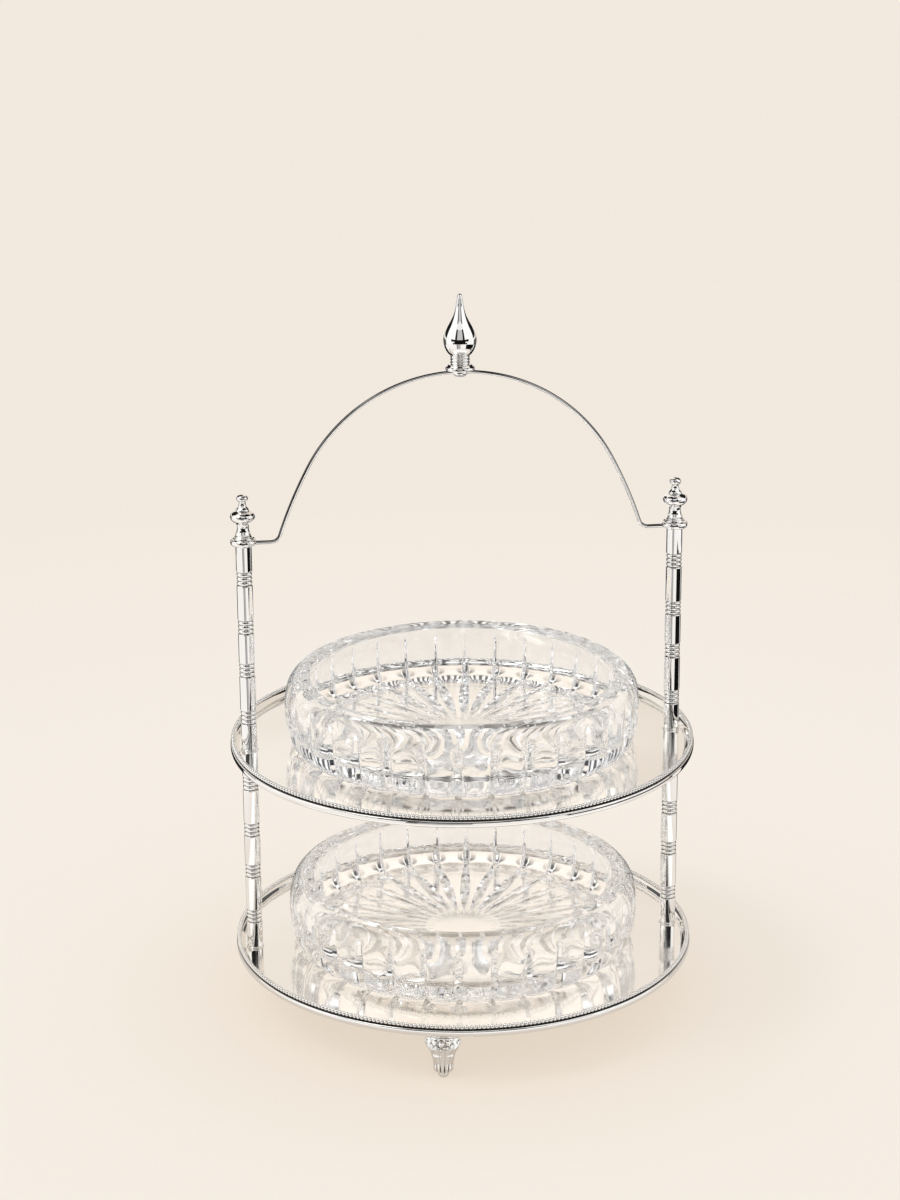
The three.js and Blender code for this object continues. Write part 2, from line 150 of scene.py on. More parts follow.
def silver(name, tone, low, high, waviness, scratch, painted_dark=0.0):
    """Bright silver plate: soft cloudy wear in the roughness, fine wiping marks, and near-black paint where the mesh
    marks it: painted shade in grooves, a painted reflection on the handle wire.
    """
    mat, nodes, links, shader = material(name)
    place = object_place(nodes)
    shader.inputs["Metallic"].default_value = 1.0
    rough = ramp(nodes, links, noise(nodes, links, place, 38, 4), [(0.3, low), (0.75, high)])
    links.new(rough, shader.inputs["Roughness"])
    pale = tuple(min(1.0, c * 1.02) for c in tone)
    deep = tuple(c * f for c, f in zip(tone, (0.95, 0.94, 0.92)))
    colour = ramp(nodes, links, noise(nodes, links, place, 9, 2), [(0.35, deep), (0.65, pale)])
    # painted shade and painted reflection: the marked vertices are blended towards near black
    if painted_dark:
        colour = blend(nodes, links, painted_dark_and_grinding_shares(nodes), colour, (painted_dark, painted_dark * 0.93, painted_dark * 0.85))
    links.new(colour, shader.inputs["Base Color"])
    waves = bump(nodes, links, noise(nodes, links, place, 14, 1), waviness, 0.002)
    marks = bump(nodes, links, noise(nodes, links, place, 900, 2), scratch, 0.0001, waves)
    links.new(marks, shader.inputs["Normal"])
    return mat


def crystal():
    """Clear heavy glass with a faint smear and ripple, and a finely ground finish in the marked cuts."""
    mat, nodes, links, shader = material("cut_crystal")
    place = object_place(nodes)
    shader.inputs["Base Color"].default_value = (0.995, 0.998, 1.0, 1)
    shader.inputs["Transmission Weight"].default_value = 1.0
    shader.inputs["IOR"].default_value = 1.53
    smear = ramp(nodes, links, noise(nodes, links, place, 30, 3), [(0.35, 0.0), (0.8, 0.015)])
    links.new(blend(nodes, links, painted_dark_and_grinding_shares(nodes), smear, (0.09, 0.09, 0.09)), shader.inputs["Roughness"])
    links.new(bump(nodes, links, noise(nodes, links, place, 60, 1), 0.05, 0.001), shader.inputs["Normal"])
    return mat


def turned_steel():
    """Plated steel with the fine grain of turning."""
    mat, nodes, links, shader = material("plated_steel")
    shader.inputs["Metallic"].default_value = 1.0
    speck = noise(nodes, links, object_place(nodes), 300, 3)
    links.new(ramp(nodes, links, speck, [(0.3, 0.22), (0.7, 0.4)]), shader.inputs["Roughness"])
    tone = ramp(nodes, links, speck, [(0.3, (0.52, 0.53, 0.54)), (0.7, (0.68, 0.68, 0.68))])
    links.new(tone, shader.inputs["Base Color"])
    return mat


SILVER = silver("silver_plate", (0.965, 0.955, 0.94), 0.015, 0.04, 0.012, 0.02, 0.02)
MIRROR = silver("mirror_silver", (0.965, 0.95, 0.93), 0.075, 0.11, 0.006, 0.03)
STEEL = turned_steel()
CRYSTAL = crystal()


# ---- mesh helpers

def add_mesh(name, verts, faces, mat, body="stand", sharp=35, painted_dark_and_grinding=None):
    """A piece in metres on a body. Edges over sharp degrees stay crisp; the last argument gives each vertex a share,
    of painted dark on silver and of fine grinding on glass.
    """
    mesh = bpy.data.meshes.new(name)
    mesh.from_pydata(np.asarray(verts, dtype=float).tolist(), [], faces)
    mesh.validate()
    mesh.materials.append(mat)
    mesh.shade_smooth()
    if sharp:
        mesh.set_sharp_from_angle(angle=math.radians(sharp))
    if painted_dark_and_grinding is not None:
        layer = mesh.attributes.new("painted_dark_and_grinding", "FLOAT", "POINT")
        layer.data.foreach_set("value", np.asarray(painted_dark_and_grinding, dtype=np.float32))
    obj = bpy.data.objects.new(name, mesh)
    bpy.context.scene.collection.objects.link(obj)
    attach(obj, body)
    return obj


def spline(points, per=8):
    """A smooth run through points."""
    p = np.array([points[0], *points, points[-1]], dtype=float)
    out = []
    for i in range(1, len(p) - 2):
        for t in np.linspace(0, 1, per, endpoint=False):
            a, b, c, d = p[i - 1:i + 3]
            out.append(0.5 * (2 * b + (c - a) * t + (2 * a - 5 * b + 4 * c - d) * t * t
                              + (3 * b - a - 3 * c + d) * t ** 3))
    out.append(p[-2])
    return [tuple(v) for v in out]


def grid_faces(rows, cols, closed_rows=False):
    """Quads between rings of vertices, where closed_rows joins the last ring to the first."""
    faces = []
    last = rows if closed_rows else rows - 1
    for i in range(last):
        a, b = i * cols, ((i + 1) % rows) * cols
        for j in range(cols):
            k = (j + 1) % cols
            faces.append((a + j, a + k, b + k, b + j))
    return faces


def end_fans(middle, last, cols):
    """Triangles that close the first and the last ring around two points that follow the grid."""
    faces = []
    for j in range(cols):
        k = (j + 1) % cols
        faces.append((middle, k, j))
        faces.append((middle + 1, last + j, last + k))
    return faces


def rings(profile, segs):
    """Vertices and faces of a turned form: a closed section, or one that starts and ends on the axis."""
    closed = profile[0][0] > 1e-6
    body = list(profile)
    if closed:
        if np.allclose(body[0], body[-1]):
            body = body[:-1]
    else:
        body = body[1:-1]
    angle = np.linspace(0, 2 * np.pi, segs, endpoint=False)
    r = np.array([q[0] for q in body])[:, None]
    z = np.array([q[1] for q in body])[:, None]
    verts = np.stack([r * np.sin(angle), -r * np.cos(angle), z + 0 * angle], axis=2).reshape(-1, 3)
    faces = grid_faces(len(body), segs, closed)
    if not closed:
        faces += end_fans(len(verts), (len(body) - 1) * segs, segs)
        verts = np.vstack([verts, [[0, 0, profile[0][1]], [0, 0, profile[-1][1]]]])
    return verts, faces


def lathe(name, profile, segs, place, mat, body="stand", sharp=35):
    """A turned piece that stands at a place."""
    verts, faces = rings(profile, segs)
    verts = (verts + np.array(place)) * MM
    return add_mesh(name, verts, faces, mat, body, sharp)


def join(parts):
    """Several meshes in one, each with vertices, faces and, where it has any, its shares of painted shade."""
    verts, faces, painted_dark_and_grinding, count = [], [], [], 0
    for v, f, *shares in parts:
        verts.append(v)
        faces += [tuple(i + count for i in face) for face in f]
        painted_dark_and_grinding.append(shares[0] if shares else np.zeros(len(v)))
        count += len(v)
    return np.vstack(verts), faces, np.concatenate(painted_dark_and_grinding)


# ---- trays

BEADS = 350
BEAD_CIRCLE = 123.52
BEAD_RADIUS = 1.17
BEAD_HEIGHT = 3.73
RIM_SEGMENTS = 480


def border_section():
    """The border's outline: a cove on the plate, a sloping band, the beads' seat and a rounded wall."""
    cove = spline([(120.2, 0.0), (120.24, 0.3), (120.45, 0.62), (120.85, 0.78)], 4)
    band = spline([(120.85, 0.78), (121.2, 1.4), (121.75, 2.35), (122.3, 3.1)], 5)
    seat = [(122.42, 3.2), (122.52, 3.0), (123.0, 2.75), (123.9, 2.7), (124.16, 2.6), (124.16, 2.2), (124.1, 1.98)]
    wall = spline([(124.14, 1.96), (124.5, 2.02), (124.83, 1.75), (125.0, 1.15), (125.0, 0.3), (124.92, -0.4),
                   (124.6, -1.05), (124.05, -1.45), (123.3, -1.67), (122.75, -1.7)], 5)
    section = cove[:-1] + band[:-1] + seat + wall + [(122.75, 0.0)]
    return section[::-1]


def bead_row():
    """A row of small round beads, each a little drawn out along the rim, as they come from a die."""
    lat, lon = 9, 14
    unit = []
    for i in range(1, lat):
        th = math.pi * i / lat
        for j in range(lon):
            ph = 2 * math.pi * j / lon
            unit.append((math.sin(th) * math.cos(ph), math.sin(th) * math.sin(ph), math.cos(th)))
    last = (lat - 2) * lon
    faces = [tuple(reversed(f)) for f in grid_faces(lat - 1, lon) + end_fans(len(unit), last, lon)]
    unit = np.array(unit + [(0, 0, 1), (0, 0, -1)])
    # painted shade: each bead darkens on its underside and on the sides that face its neighbours
    under = np.clip((-unit[:, 2] - 0.84) * 6, 0, 1)
    between = np.clip((np.abs(unit[:, 1]) - 0.88) * 8, 0, 0.8)
    painted_shade = np.maximum(under, between)
    local = unit * [BEAD_RADIUS * 0.98, BEAD_RADIUS * 1.04, BEAD_RADIUS]
    x, y = BEAD_CIRCLE + local[:, 0], local[:, 1]
    row = []
    for b in range(BEADS):
        angle = 2 * math.pi * b / BEADS
        c, s = math.cos(angle), math.sin(angle)
        row.append((np.stack([x * c - y * s, x * s + y * c, local[:, 2]], axis=1), faces, painted_shade))
    return join(row)


def make_tray(level):
    """A mirror plate, its border and the border's beads."""
    z = FLOORS[level]
    plate = [(0, -PLATE), (60, -PLATE), (122.2, -PLATE), (122.6, -0.9), (122.6, -0.1), (122.5, 0), (119, 0),
             (90, 0), (45, 0), (10, 0), (0, 0)]
    piece = lathe(f"{level}_tray_plate", plate, 360, (0, 0, z), MIRROR)
    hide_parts(f"{level}_tray")
    section = border_section()
    v, f = rings(section + [section[0]], RIM_SEGMENTS)
    # painted shade in the groove between the beads' seat and the wall, behind the beads
    painted_shade_behind_beads = [1.0 if (123.2 < r < 124.2 and 1.9 < h < 3.1) else 0.0 for r, h in section]
    painted_dark_and_grinding = np.repeat(painted_shade_behind_beads, RIM_SEGMENTS)
    rim = add_mesh(f"{level}_tray_rim", (v + [0, 0, z]) * MM, f, SILVER, painted_dark_and_grinding=painted_dark_and_grinding)
    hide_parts(f"{level}_tray_border")
    v, f, h = bead_row()
    add_mesh(f"{level}_tray_beads", (v + [0, 0, z + BEAD_HEIGHT]) * MM, f, SILVER, sharp=0, painted_dark_and_grinding=h)


# ---- posts

POST_SEGMENTS = 72
POST_RADIUS = 4.3
POST_ROUNDING = 0.45
POST_EDGE = 0.3
GROOVE_RADIUS = 3.5
POST_BEAD_RADIUS = 4.14
POST_BEADS = 3
BEAD_PITCH = 2.35
BARRELS = (1.0, 1.36, 1.18, 1.36, 1.0)  # their lengths against the first


def post_section():
    """Radius, height and share of painted shade up the post: five barrels with a group of beads between each two."""
    group = BEAD_PITCH * (POST_BEADS + 0.1)
    shortest = (POST_LENGTH - (len(BARRELS) - 1) * group) / sum(BARRELS)
    inner = POST_RADIUS - POST_ROUNDING
    corner = [(inner + math.sin(t) * POST_ROUNDING, (1 - math.cos(t)) * POST_ROUNDING)
              for t in np.linspace(0, math.pi / 2, 6)[1:]]
    points = [(0, 0, 0), (POST_RADIUS - POST_EDGE, 0, 0), (POST_RADIUS, POST_EDGE, 0)]
    z = 0.0
    for i, share in enumerate(BARRELS):
        if i:
            for k in range(POST_BEADS):
                middle = z + BEAD_PITCH * (k + 0.55)
                for t in np.linspace(-84, 84, 13):
                    a = math.radians(t)
                    r = GROOVE_RADIUS + (POST_BEAD_RADIUS - GROOVE_RADIUS) * math.cos(a)
                    # painted shade: each bead darkens toward its upper and lower edges, and each groove's bottom gets
                    # the full share
                    points.append((r, middle + 1.15 * math.sin(a), max(0.0, (abs(t) - 52) / 30)))
            z += group
            points.append((GROOVE_RADIUS + 0.05, z, 1))
            points += [(r, z + rise, 0) for r, rise in corner]
        length = shortest * share
        points += [(POST_RADIUS, z + rise, 0) for rise in (0.7, 1.4, length - 1.4, length - 0.7)]
        z += length
        if i < len(BARRELS) - 1:
            points += [(r, z - rise, 0) for r, rise in reversed(corner)]
            points.append((GROOVE_RADIUS + 0.05, z, 1))
    return points + [(POST_RADIUS, POST_LENGTH - POST_EDGE, 0), (POST_RADIUS - POST_EDGE, POST_LENGTH, 0),
                     (0, POST_LENGTH, 0)]


def make_posts(level):
    """The left and right post of a tier, each in a thin rounded collar."""
    section = post_section()
    v, f = rings(section, POST_SEGMENTS)
    painted_dark_and_grinding = np.concatenate([np.repeat([q[2] for q in section[1:-1]], POST_SEGMENTS), [0, 0]])
    ring = spline([(4.55, 0.0), (4.74, 0.06), (4.8, 0.3), (4.72, 0.6), (4.45, 0.84), (4.1, 0.9)], 4)
    ring = [(0, 0), *ring, (0, 0.9)]
    for hand, side in SIDES.items():
        foot = (side * POST_X, 0, FLOORS[level])
        post = add_mesh(f"{level}_{hand}_turned_post", (v + foot + [0, 0, COLLAR]) * MM, f, SILVER,
                        sharp=40, painted_dark_and_grinding=painted_dark_and_grinding)
        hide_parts(f"{level}_post_{hand}")
        collar = lathe(f"{level}_{hand}_post_collar", ring, 64, foot, SILVER)
        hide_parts(f"{level}_collar_{hand}")


# ---- threads and screws

STUD_RADIUS = 1.6
THREAD_PITCH = 0.7
THREAD_DEPTH = 0.17


def threaded(name, length, place, node):
    """A stud threaded over its whole length, where the thread runs out at the upper end."""
    rows, cols = int(length / THREAD_PITCH * 8), 32
    z = np.linspace(0, length, rows)[:, None]
    a = np.linspace(0, 2 * np.pi, cols, endpoint=False)[None, :]
    phase = (z / THREAD_PITCH - a / (2 * np.pi)) % 1.0
    ridge = (np.abs(phase - 0.5) * 4 - 1) * np.clip((length - z) / THREAD_PITCH, 0, 1)
    r = STUD_RADIUS + THREAD_DEPTH * ridge
    v = np.stack([r * np.sin(a), -r * np.cos(a), z + 0 * a], axis=2).reshape(-1, 3)
    f = grid_faces(rows, cols) + end_fans(len(v), (rows - 1) * cols, cols)
    v = np.vstack([v, [[0, 0, 0], [0, 0, length]]])
    piece = add_mesh(name, (v + np.array(place)) * MM, f, STEEL, sharp=50)
    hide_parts(node)


def slotted_head(name, radius, thick, shank, shank_length, place, node):
    """A domed head seen from below, with a slot across it, and its plain shank."""
    rows = [(0, -thick), (radius * 0.35, -thick * 0.99), (radius * 0.7, -thick * 0.88), (radius * 0.92, -thick * 0.6),
            (radius, -thick * 0.25), (radius, 0), (shank, 0), (shank, shank_length), (0, shank_length)]
    fine = [rows[0]] + spline(rows[1:5], 6) + rows[4:]
    v, f = rings(fine, 96)
    slot = (np.abs(v[:, 1]) < radius * 0.16) & (v[:, 2] < -thick * 0.2) & (np.hypot(v[:, 0], v[:, 1]) < radius * 0.99)
    v[slot, 2] += thick * 0.45
    v[slot, 2] = np.minimum(v[slot, 2], -thick * 0.2)
    piece = add_mesh(name, (v + np.array(place)) * MM, f, STEEL, sharp=30)
    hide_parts(node)


def make_fasteners():
    """A base screw, a tier stud and a handle stud on each side, and the crown's screw."""
    upward, downward, above = 10, 11, 8
    through = COLLAR + PLATE + upward
    for hand, side in SIDES.items():
        x = side * POST_X
        slotted_head(f"{hand}_base_screw_head", 3.8, 1.8, STUD_RADIUS, through, (x, 0, LOWER_FLOOR - PLATE),
                     f"base_screw_{hand}")
        threaded(f"{hand}_tier_thread", downward + through, (x, 0, UPPER_FLOOR - PLATE - downward),
                 f"tier_stud_{hand}")
        threaded(f"{hand}_handle_thread", downward + EYELET + above, (x, 0, SEAT - downward), f"handle_stud_{hand}")
    slotted_head("crown_screw_head", 3.2, 1.2, 1.2, APEX_EYE + 6, (0, 0, APEX_Z - APEX_EYE / 2), "crown_screw")


# ---- handle, finials and teardrop

WIRE_SEGMENTS = 28


def sweep(points, radius, segs):
    """A round wire along points in the plane of the posts."""
    p = np.array(points, dtype=float)
    tangent = np.gradient(p, axis=0)
    tangent /= np.linalg.norm(tangent, axis=1)[:, None]
    side = np.tile([0.0, 1.0, 0.0], (len(p), 1))
    up = np.cross(side, tangent)
    a = np.linspace(0, 2 * np.pi, segs, endpoint=False)[None, :, None]
    v = p[:, None] + radius * (np.cos(a) * side[:, None] + np.sin(a) * up[:, None])
    v = v.reshape(-1, 3)
    f = [tuple(reversed(q)) for q in grid_faces(len(p), segs)]
    f.append(tuple(range(segs)))
    f.append(tuple(reversed(range((len(p) - 1) * segs, len(p) * segs))))
    return v, f


def bail_path():
    """Level from each eye, a tight bend, a leg leaning in on a wide curve, then the round arch."""
    start = math.radians(FLARE_START)
    reach = FLARE_RADIUS - ARCH_RADIUS
    cx, cz = -reach * math.cos(start), -ARCH_DROP - reach * math.sin(start)
    end = math.asin((BEND - cz) / (FLARE_RADIUS + BEND))
    leg = cx + (FLARE_RADIUS + BEND) * math.cos(end)
    half = [(x, 0.0) for x in np.linspace(POST_X - 4, leg, 12, endpoint=False)]
    for t in np.linspace(0, math.pi / 2 - end, 14, endpoint=False):
        half.append((leg - BEND * math.sin(t), BEND * (1 - math.cos(t))))
    for t in np.linspace(end, start, 24, endpoint=False):
        half.append((cx + FLARE_RADIUS * math.cos(t), cz + FLARE_RADIUS * math.sin(t)))
    for t in np.linspace(start, math.pi / 2, 80):
        half.append((ARCH_RADIUS * math.cos(t), ARCH_RADIUS * math.sin(t) - ARCH_DROP))
    whole = [(-x, z) for x, z in half] + [(x, z) for x, z in reversed(half[:-1])]
    return [(x, 0.0, z) for x, z in whole]


def make_handle():
    """The wire with a dished eye clamped on each post and a small flat eye at its top.

    The wire's outer side is painted dark: a painted reflection of the dark room above it."""
    path = bail_path()
    outward = -np.sin(np.linspace(0, 2 * np.pi, WIRE_SEGMENTS, endpoint=False))
    # painted reflection: the outward-facing side of the wire is darkened, up to a share of 0.88
    painted_reflection = np.tile(np.clip((outward - 0.2) * 2.4, 0, 0.88), len(path))
    dish = spline([(4.9, -1.2), (5.9, -1.05), (6.6, -0.45), (6.9, 0.5), (6.85, 1.4), (6.55, 2.05), (6.15, 2.2),
                   (5.75, 1.95), (5.4, 1.6), (5.0, 1.5)], 5)
    eye = [(0, -1.2), *dish, (0, 1.5)]
    half = APEX_EYE / 2
    small = [(0, -half), *spline([(3.4, -half), (3.85, -half + 0.3), (4.0, 0), (3.85, half - 0.3), (3.4, half)], 5),
             (0, half)]
    parts = [(*sweep(path, WIRE_RADIUS, WIRE_SEGMENTS), painted_reflection)]
    for place, section in (((-POST_X, 0, 0), eye), ((POST_X, 0, 0), eye), ((0, 0, APEX_Z - WIRE_Z), small)):
        v, f = rings(section, 96)
        parts.append((v + place, f))
    v, f, painted_dark_and_grinding = join(parts)
    piece = add_mesh("bail_handle", (v + [0, 0, WIRE_Z]) * MM, f, SILVER, painted_dark_and_grinding=painted_dark_and_grinding)
    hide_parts("handle")


def finial_section():
    """A bell with two steps, a flattened knob, a slim neck and a button."""
    bell = spline([(4.95, -0.55), (5.0, 0.3), (4.9, 0.9), (4.6, 1.25), (4.62, 1.5), (4.66, 1.75), (4.45, 2.05),
                   (4.12, 2.35), (4.12, 2.6), (4.16, 2.85), (3.95, 3.2), (3.55, 4.1), (3.28, 5.1), (3.15, 6.3),
                   (3.2, 7.4), (3.5, 8.5), (4.3, 9.4)], 4)
    knob = spline([(4.3, 9.4), (5.4, 10.0), (6.25, 11.0), (6.6, 12.2), (6.45, 13.4), (5.75, 14.3), (4.7, 14.85),
                   (3.9, 15.1), (3.5, 15.4)], 7)
    neck = spline([(3.5, 15.4), (3.55, 15.9), (3.35, 16.5), (2.75, 17.2), (2.2, 18.0), (1.88, 19.0), (1.82, 19.8),
                   (1.95, 20.4)], 5)
    button = spline([(1.95, 20.4), (2.4, 20.75), (2.95, 21.4), (3.12, 22.2), (2.95, 23.0), (2.35, 23.6), (1.5, 23.9),
                     (0.8, 24.0)], 6)
    return [(0, -0.55)] + bell + knob[1:] + neck[1:] + button[1:] + [(0, 24.02)]


def make_finials():
    """The two post finials, each on a body of its own."""
    for hand, side in SIDES.items():
        piece = lathe(f"{hand}_post_finial", finial_section(), 96, (side * POST_X, 0, SEAT + EYELET), SILVER,
                      body=f"{hand}_finial_body", sharp=50)
        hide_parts(f"finial_{hand}")


def make_crown():
    """The teardrop on the handle's top: a rimmed base, a neck of three rings and a drawn-out drop."""
    base = [(0, 0), (7.5, 0), (7.72, 0.2), (7.75, 0.9), (7.72, 1.6), (7.5, 1.85), (6.9, 1.95), (6.6, 2.2), (6.45, 2.7),
            (6.1, 3.0), (5.2, 3.1)]
    neck = []
    for k in range(3):
        mid = 3.95 + 1.55 * k
        for t in np.linspace(-78, 78, 11):
            a = math.radians(t)
            neck.append((4.55 + 0.65 * math.cos(a), mid + 0.75 * math.sin(a)))
    body = spline([(4.9, 7.75), (5.9, 8.3), (7.1, 9.9), (8.05, 11.9), (8.5, 13.6), (8.72, 15.4), (8.65, 17.0),
                   (8.25, 18.8), (7.6, 20.6), (6.8, 22.3), (5.9, 23.9), (4.95, 25.6), (3.95, 27.6), (3.25, 29.4),
                   (2.5, 32.3), (1.85, 35.7), (1.3, 38.6), (1.0, 39.5), (0.6, 40.0)], 7)
    piece = lathe("teardrop_finial", base + neck + body + [(0, 40.1)], 128, (0, 0, APEX_Z + APEX_EYE / 2), SILVER,
                  sharp=50)
    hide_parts("crown_finial")


# ---- feet

def foot_mesh():
    """A foot that faces -Y: a leaf with two scrolls, a fluted ankle and toes, and a ball."""
    height = LOWER_FLOOR - PLATE
    keys = np.array([
        # height, half width, flute depth, depth as a share of the width, shift outward
        [3.0, 3.0, 0.3, 1.0, 0.0],
        [3.4, 4.3, 0.7, 1.0, 0.0],
        [4.0, 5.05, 0.95, 1.0, 0.0],
        [4.8, 5.35, 1.0, 1.0, 0.0],
        [6.0, 5.35, 0.85, 1.0, 0.0],
        [7.4, 5.22, 0.45, 1.0, 0.0],
        [9.1, 5.35, 0.14, 0.98, 0.0],
        [11.9, 6.0, 0.12, 0.95, 0.1],
        [15.0, 6.8, 0.12, 0.9, 0.4],
        [17.3, 8.1, 0.12, 0.84, 0.8],
        [19.5, 9.15, 0.2, 0.82, 1.1],
        [21.5, 9.2, 0.25, 0.82, 1.1],
        [24.0, 9.1, 0.25, 0.82, 1.1],
        [26.5, 8.8, 0.15, 0.82, 0.8],
        [height, 8.2, 0.0, 0.84, 0.5],
    ])
    rows, cols, flutes = 120, 224, 14
    z = np.linspace(keys[0, 0], height, rows)
    width, flute, share, shift = (np.interp(z, keys[:, 0], keys[:, i]) for i in range(1, 5))
    kernel = np.array([1, 2, 3, 2, 1]) / 9.0
    width = np.convolve(np.pad(width, 2, mode="edge"), kernel, mode="valid")
    a = np.linspace(0, 2 * np.pi, cols, endpoint=False)
    lobe = np.abs(np.cos(a * flutes / 2)) ** 0.7
    groove = 1 - lobe
    leaf = np.clip((z - 16) / 5, 0, 1)[:, None]
    ribs = np.cos(a * 6)[None, :] * 0.12 * leaf * np.clip((28 - z) / 4, 0, 1)[:, None]
    r = width[:, None] - flute[:, None] * 1.3 * groove[None, :] + ribs
    raised, cut = leaf_relief(r * np.sin(a)[None, :], z[:, None] + 0 * r)
    ahead = np.clip(np.cos(a) * 3, 0, 1)[None, :]
    r = r + raised * ahead
    x = r * np.sin(a)[None, :]
    y = -r * np.cos(a)[None, :] * share[:, None] - shift[:, None]
    body = np.stack([x, y, z[:, None] + 0 * x], axis=2).reshape(-1, 3)
    # painted shade: the flutes' grooves and the carved ring around each leaf dome are darkened
    gap = np.clip(groove[None, :] * 1.5 - 0.45, 0, 1) * np.clip(flute[:, None] * 1.6, 0, 1)
    painted_dark_and_grinding = np.maximum(gap, cut * ahead).reshape(-1)
    faces = grid_faces(rows, cols) + end_fans(len(body), (rows - 1) * cols, cols)
    body = np.vstack([body, [[0, 0, z[0]], [0, -shift[-1], height]]])
    # painted shade at the middle of the foot's underside
    painted_dark_and_grinding = np.append(painted_dark_and_grinding, [1, 0])
    ball = spline([(1.6, 0.0), (2.3, 0.5), (2.8, 1.5), (2.9, 2.5), (2.5, 3.6)], 6)
    ball = rings([(0, 0.0), *ball, (0, 4.0)], 64)
    return join([(body, faces, painted_dark_and_grinding), ball, scroll(-1), scroll(1)])


def leaf_relief(across, z):
    """The carved front of the leaf: a bud between lobes under a bar that runs to the two scrolls."""
    raised, cut = np.zeros_like(z), np.zeros_like(z)
    domes = [(-0.2, 22.4, 1.5, 1.9, 0.95), (-2.5, 20.0, 1.4, 1.3, 0.7), (2.1, 20.0, 1.4, 1.3, 0.7),
             (-3.8, 23.0, 1.3, 1.9, 0.6), (3.4, 23.0, 1.3, 1.9, 0.6), (-0.2, 18.4, 0.8, 1.4, 0.4),
             (-5.6, 20.6, 1.1, 1.5, 0.5), (5.2, 20.6, 1.1, 1.5, 0.5)]
    for x0, z0, rx, rz, high in domes:
        q = 1 - ((across - x0) / rx) ** 2 - ((z - z0) / rz) ** 2
        raised = np.maximum(raised, high * np.sqrt(np.clip(q, 0, 1)))
        # cut rings each dome; the foot sinks it a little and gives it painted shade
        cut = np.maximum(cut, np.exp(-((q + 0.1) / 0.28) ** 2) * (q < 0.12))
    bar = np.clip(1 - ((z - 25.6 + 0.02 * across ** 2) / 0.8) ** 2, 0, 1)
    raised = np.maximum(raised, 0.6 * np.sqrt(bar))
    covered = np.clip(raised * 4, 0, 1)
    cut = cut * (1 - covered) * np.clip((z - 16.5) / 1.5, 0, 1) * np.clip((25.4 - z) / 1.0, 0, 1)
    return raised - 0.3 * cut, cut


def scroll(side):
    """A small volute at the leaf's corner: a rounded roll with a spiral groove on its face."""
    rows, cols = 26, 48
    reach, height, start = 7.25, 22.0, -1.2
    length, radius, depth = 4.6, 2.1, 0.28
    t = np.linspace(0, 1, rows)[:, None]
    a = np.linspace(0, 2 * np.pi, cols, endpoint=False)[None, :]
    front = np.sin(np.clip(t, 0, 0.5) * np.pi)
    back = np.sin(np.clip(1 - t, 0, 0.5) * np.pi)
    r = radius * np.minimum(front, back) ** 0.6
    spiral = depth * np.cos(a * side - 7.0 * r / radius * 1.6)
    face = np.clip((t - 0.5) * 2, 0, 1)
    x = side * reach + r * np.cos(a)
    y = start - length * t + spiral * face * np.clip(1 - np.abs(r / radius - 0.6) * 1.6, 0, 1)
    z = height + r * np.sin(a)
    v = np.stack([x, y, z], axis=2).reshape(-1, 3)
    # painted shade in the spiral groove on the scroll's face
    painted_dark_and_grinding = (np.clip(-spiral / depth, 0, 1) * face).reshape(-1)
    f = [tuple(reversed(q)) for q in grid_faces(rows, cols)]
    return v, f, painted_dark_and_grinding


def make_feet():
    """Three equal feet, one at the front."""
    v, f, painted_dark_and_grinding = foot_mesh()
    for i, node in enumerate(("foot_front", "foot_right", "foot_rear_left")):
        azimuth = math.radians(FRONT_FOOT + 120 * i)
        turn = azimuth + math.pi / 2
        c, s = math.cos(turn), math.sin(turn)
        world = np.stack([v[:, 0] * c - v[:, 1] * s + FOOT_CIRCLE * math.cos(azimuth),
                          v[:, 0] * s + v[:, 1] * c + FOOT_CIRCLE * math.sin(azimuth), v[:, 2]], axis=1)
        piece = add_mesh(f"leaf_{node}", world * MM, f, SILVER, sharp=60, painted_dark_and_grinding=painted_dark_and_grinding)
        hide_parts(node)


# ---- bowls

CUTS = 32
TURN = 0.22  # of the cuts, in pitches
STAR = (21.5, 74.0)  # the radii between which the cuts run under the base
UNDER = 0.6


def bowl_rows():
    """Rows of radius, height, cut half width, cut depth and shoulder depth: under the hub, out, up and in."""
    rows = [(r, UNDER, 0, 0, 0) for r in (0.0, 8, 15, 20.5)]
    for r in np.linspace(*STAR, 24):
        t = (r - STAR[0]) / (STAR[1] - STAR[0])
        w = 0.15 + 2.2 * math.sin(math.pi * min(1.0, t * 0.92 + 0.02)) ** 0.8 + 0.8 * t
        rows.append((r, UNDER, w, 0.62 * w, 0))
    rows += [(75.5, UNDER, 1.6, 1.0, 0), (77.0, 0.05, 1.6, 0.8, 0), (79, 0.0, 1.6, 0.8, 0), (82, 0.0, 1.6, 0.9, 0.1)]
    outside = spline([(84.5, 0.0), (87.6, 0.25), (90.2, 1.3), (92.3, 3.4), (93.9, 7.0), (94.9, 12), (95.4, 18),
                      (95.5, 23), (95.15, 27.5), (94.3, 31.2), (92.9, 34.3), (91.0, 36.7), (89.2, 37.9)], 5)
    for r, z in outside:
        top = min(1.0, max(0.0, (32.0 - z) / 4.0)) ** 0.6
        w = 1.75 * top
        swell = 1.3 * min(1.0, max(0.0, (32.0 - z) / 12.0)) * min(1.0, z / 4.0 + 0.25)
        rows.append((r, z, w, 0.8 * w, swell))
    rows += [(88.7, 38.15, 0, 0, 0), (88.2, 38.2, 0, 0, 0), (85, 38.2, 0, 0, 0), (82.1, 38.2, 0, 0, 0),
             (81.75, 38.05, 0, 0, 0)]
    inside = spline([(81.7, 37.7), (82.5, 35.8), (84.0, 32.6), (85.5, 28.4), (86.3, 23.5), (86.5, 18.5), (86.2, 14.5),
                     (85.3, 11.6), (83.4, 9.6), (80.6, 8.75), (77.0, 8.5)], 4)
    rows += [(r, z, 0, 0, 0) for r, z in inside]
    rows += [(r, 8.5, 0, 0, 0) for r in (70, 60, 48, 36, 24, 12, 0.0)]
    return rows


